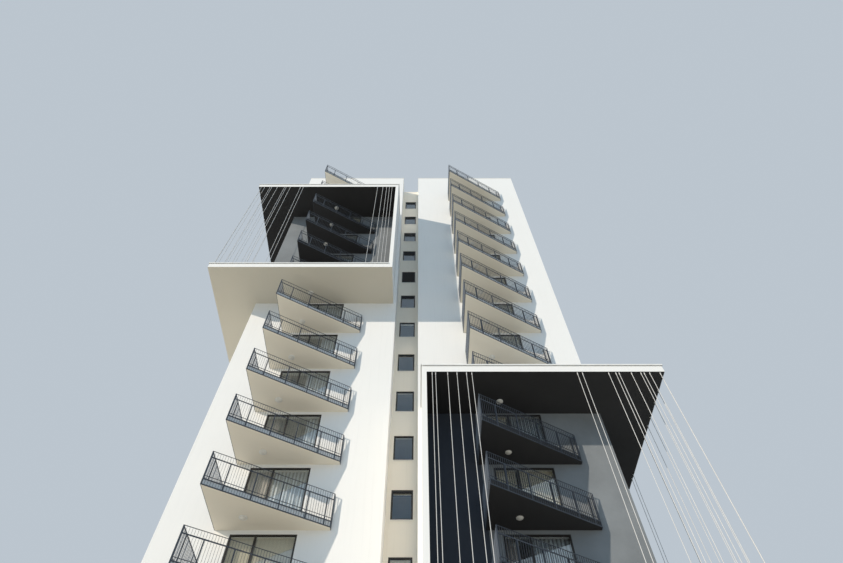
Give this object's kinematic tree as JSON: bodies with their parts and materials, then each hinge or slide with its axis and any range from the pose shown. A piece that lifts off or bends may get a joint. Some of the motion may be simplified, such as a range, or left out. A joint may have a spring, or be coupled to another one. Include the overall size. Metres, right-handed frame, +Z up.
{
  "type": "apartment block, scale model 1:2",
  "caption": "Slab apartment block of two white wings beside a recessed core, with wedge balconies and two large corner frames hung with cables.",
  "frame": {"origin": "centre of the footprint, on the ground", "axes": "+Z up, the balcony front faces -Y, +X to the right seen from the front"},
  "size_m": [11.3, 8.7941, 24.9],
  "materials": {
    "white_render": "fine matt render, painted white",
    "beige_render": "fine matt render, painted beige",
    "black_paint": "concrete painted matt black",
    "concrete": "fair-faced concrete",
    "roof_membrane": "roof sheet with welded laps",
    "coping_metal": "folded sheet, satin",
    "cable_wire": "white coated wire rope",
    "railing_metal": "satin anthracite powder coat",
    "window_metal": "satin anthracite powder coat",
    "clear_glass": "clear float glass",
    "lamp_shade": "opal plastic",
    "entrance_metal": "satin anthracite powder coat"
  },
  "bodies": {
    "root": {"ground_slab": "concrete", "floor_slabs": "concrete", "left_front_wall": "white_render", "left_outer_wall": "white_render", "left_inner_wall": "white_render", "left_back_wall": "white_render", "right_front_wall": "white_render", "right_outer_wall": "white_render", "right_inner_wall": "white_render", "right_back_wall": "white_render", "core_front_wall": "beige_render", "core_back_wall": "beige_render", "roof_slabs": "roof_membrane", "copings": "coping_metal", "left_frame_top": "white_render", "left_frame_foot": "white_render", "left_frame_fin": "white_render", "left_frame_rear_fin": "white_render", "right_frame_top": "white_render", "right_frame_foot": "white_render", "right_frame_fin": "white_render", "right_frame_rear_fin": "white_render", "left_front_cables": "cable_wire", "left_side_cables": "cable_wire", "right_front_cables": "cable_wire", "right_side_cables": "cable_wire", "left_balconies": "white_render", "left_frame_balconies": "black_paint", "right_balconies": "white_render", "right_frame_balconies": "black_paint", "left_railing_fronts": "railing_metal", "left_railing_sides": "railing_metal", "right_railing_fronts": "railing_metal", "right_railing_sides": "railing_metal", "soffit_lamps": "lamp_shade", "balcony_door_frames": "window_metal", "balcony_door_glass": "clear_glass", "core_window_frames": "window_metal", "core_window_glass": "clear_glass", "side_window_frames": "window_metal", "side_window_glass": "clear_glass", "back_window_frames": "window_metal", "back_window_glass": "clear_glass", "entrance_door": "entrance_metal", "entrance_glass": "clear_glass"}
  },
  "joints": []
}
